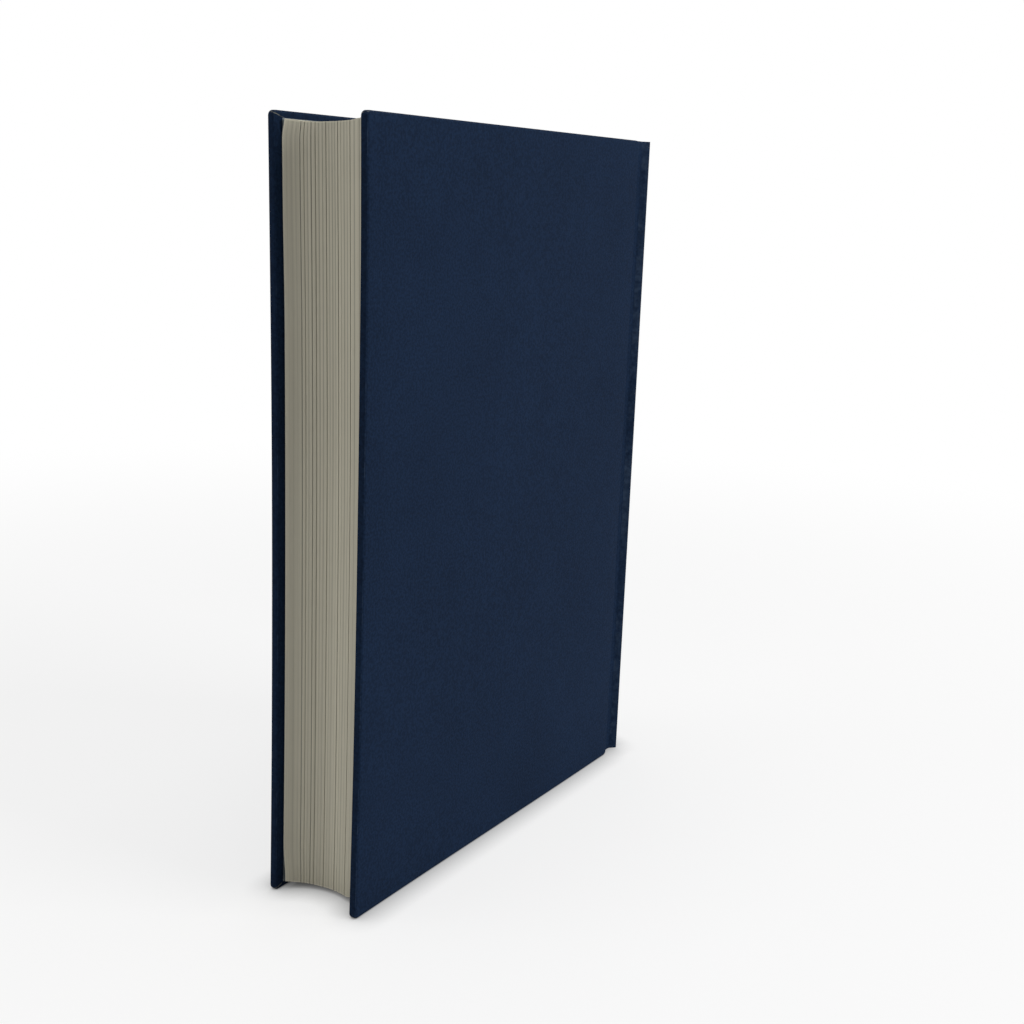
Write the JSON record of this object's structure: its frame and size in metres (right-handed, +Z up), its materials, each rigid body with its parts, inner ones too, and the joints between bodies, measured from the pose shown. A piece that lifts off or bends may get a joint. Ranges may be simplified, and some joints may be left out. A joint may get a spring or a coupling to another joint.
{
  "type": "hardback book",
  "caption": "Thick case-bound book in dark blue cloth, with stiff covers that swing open, a hollow fore-edge and a round grooved spine.",
  "frame": {"origin": "middle of the footprint, on the surface that the book stands on", "axes": "+Z up towards the head of the book, +X across the thickness from the front cover to the back cover, +Y from the fore-edge to the spine"},
  "size_m": [0.0356, 0.18, 0.2442],
  "materials": {
    "pages": "matte",
    "endpaper": "matte",
    "mull": "matte",
    "kraft_liner": "matte",
    "band_silk": "satin",
    "spine_card": "matte",
    "greyboard": "matte",
    "covering_cloth": "matte"
  },
  "bodies": {
    "root": {"text_block": "pages", "front_flyleaf": "endpaper", "back_flyleaf": "endpaper", "mull_lining": "mull", "spine_liner": "kraft_liner", "headband": "band_silk", "tailband": "band_silk", "spine_stiffener": "spine_card", "spine_cloth": "covering_cloth"},
    "front_cover": {"front_board": "greyboard", "front_cover_cloth": "covering_cloth", "front_mull_flap": "mull", "front_pastedown": "endpaper"},
    "back_cover": {"back_board": "greyboard", "back_cover_cloth": "covering_cloth", "back_mull_flap": "mull", "back_pastedown": "endpaper"}
  },
  "joints": [
    {"name": "front_cover_hinge", "type": "hinge", "parent": "root", "child": "front_cover", "pos_m": [-0.01676, 0.0843, 0.1221], "axis": [0, 0, -1], "range_deg": [0, 178]},
    {"name": "back_cover_hinge", "type": "hinge", "parent": "root", "child": "back_cover", "pos_m": [0.01676, 0.0843, 0.1221], "axis": [0, 0, 1], "range_deg": [0, 178]}
  ]
}
